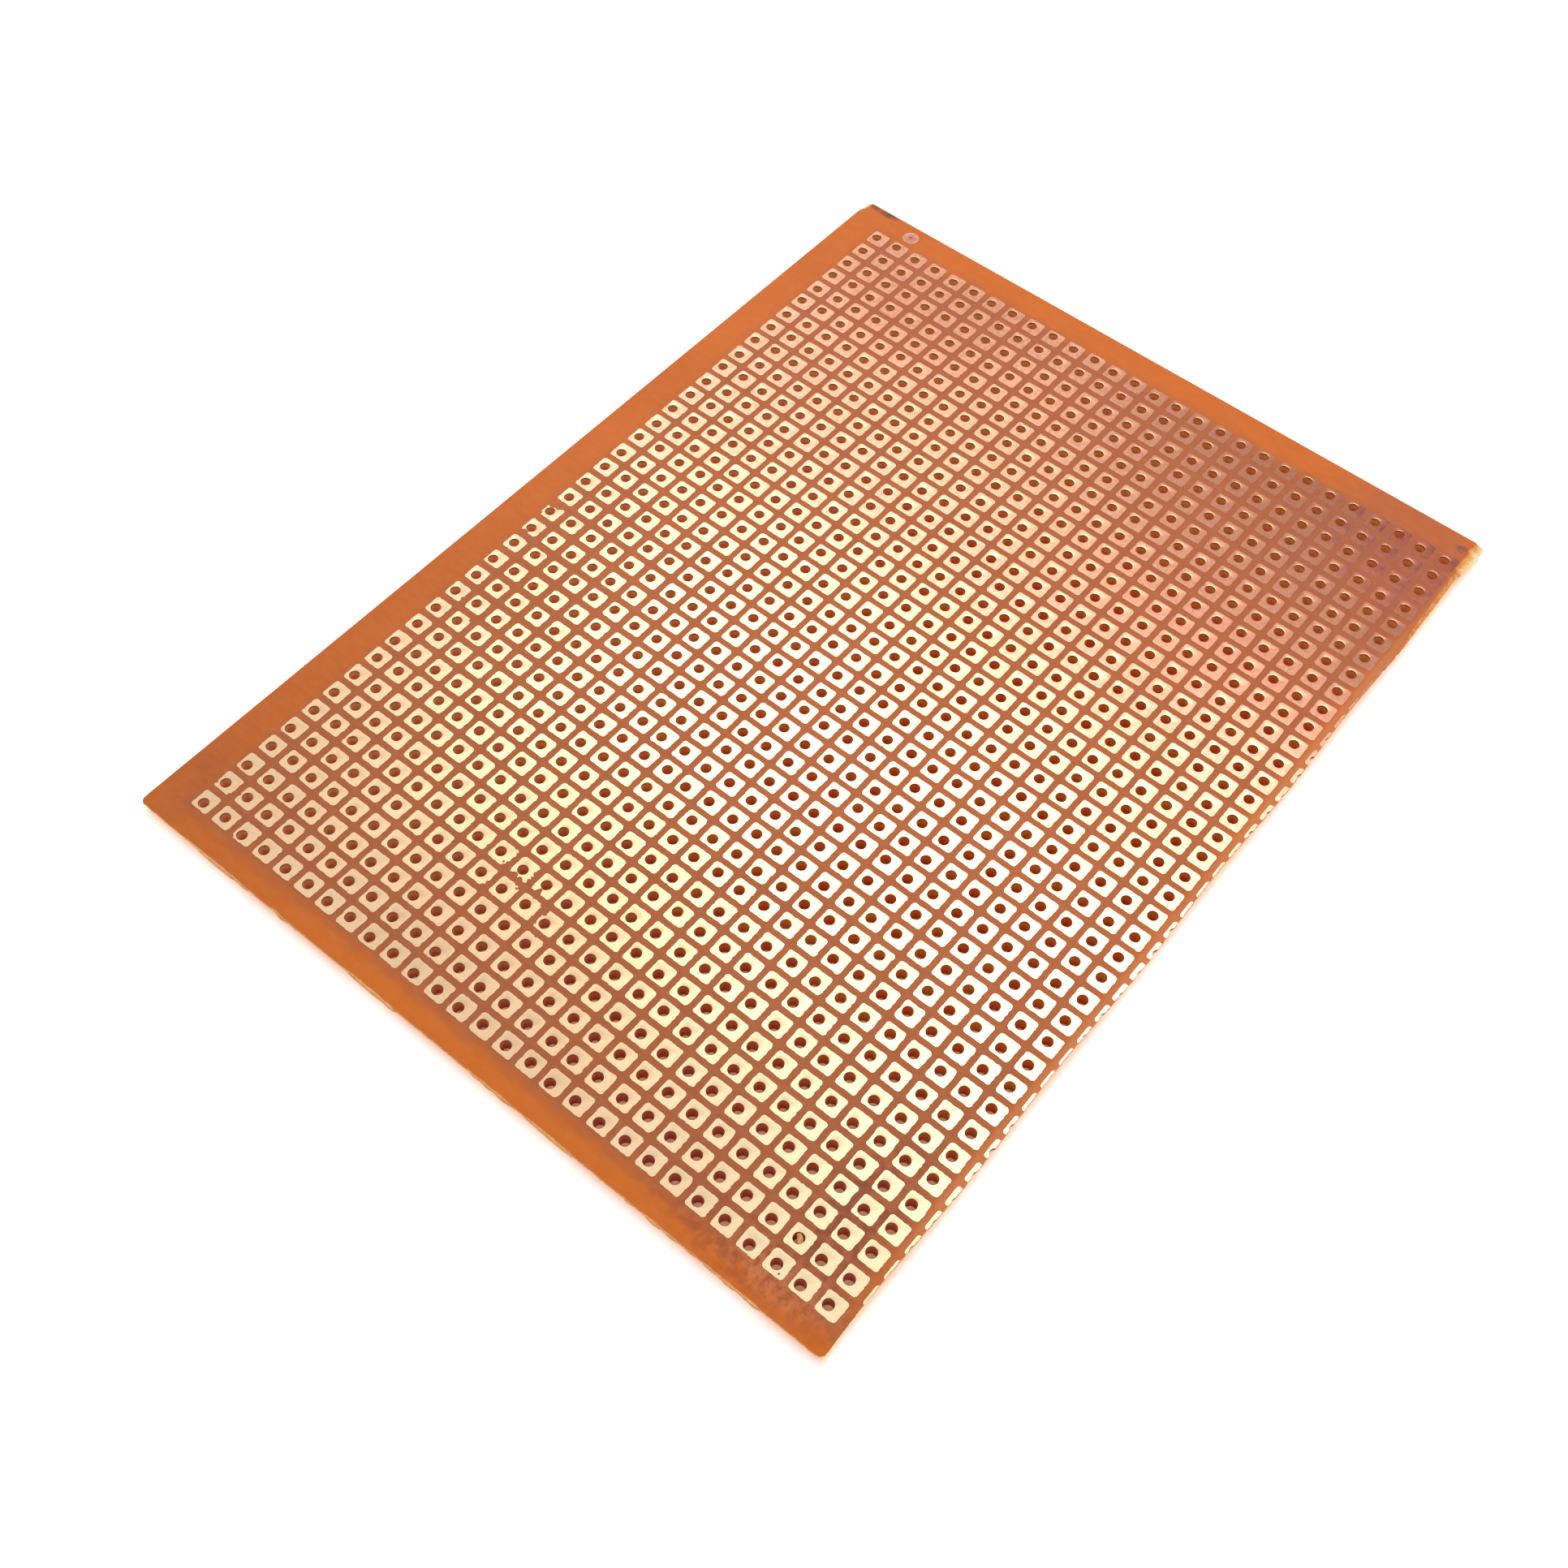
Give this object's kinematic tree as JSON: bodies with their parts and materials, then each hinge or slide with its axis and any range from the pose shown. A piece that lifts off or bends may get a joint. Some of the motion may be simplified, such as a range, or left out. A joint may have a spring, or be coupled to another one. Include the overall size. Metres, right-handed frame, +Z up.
{
  "type": "prototype board",
  "caption": "Thin flat sawn-off prototype board with a square grid of drilled copper pads for soldering component leads.",
  "frame": {"origin": "middle of the board's underside, at the centre of its outline", "axes": "+X along the rows of pads towards the short edge with the register mark, +Y towards the clean long edge, +Z up out of the copper side"},
  "size_m": [0.1018, 0.075, 0.0015],
  "materials": {
    "laminate": "semi-gloss brown phenolic paper board, rough sawn edges",
    "copper": "satin pale copper foil, lightly tarnished"
  },
  "bodies": {
    "root": {"laminate": "laminate", "pad_row_01": "copper", "pad_row_02": "copper", "pad_row_03": "copper", "pad_row_04": "copper", "pad_row_05": "copper", "pad_row_06": "copper", "pad_row_07": "copper", "pad_row_08": "copper", "pad_row_09": "copper", "pad_row_10": "copper", "pad_row_11": "copper", "pad_row_12": "copper", "pad_row_13": "copper", "pad_row_14": "copper", "pad_row_15": "copper", "pad_row_16": "copper", "pad_row_17": "copper", "pad_row_18": "copper", "pad_row_19": "copper", "pad_row_20": "copper", "pad_row_21": "copper", "pad_row_22": "copper", "pad_row_23": "copper", "pad_row_24": "copper", "pad_row_25": "copper", "pad_row_26": "copper", "pad_row_27": "copper", "pad_row_28": "copper", "cut_pad_row": "copper", "register_mark": "copper"}
  },
  "joints": []
}
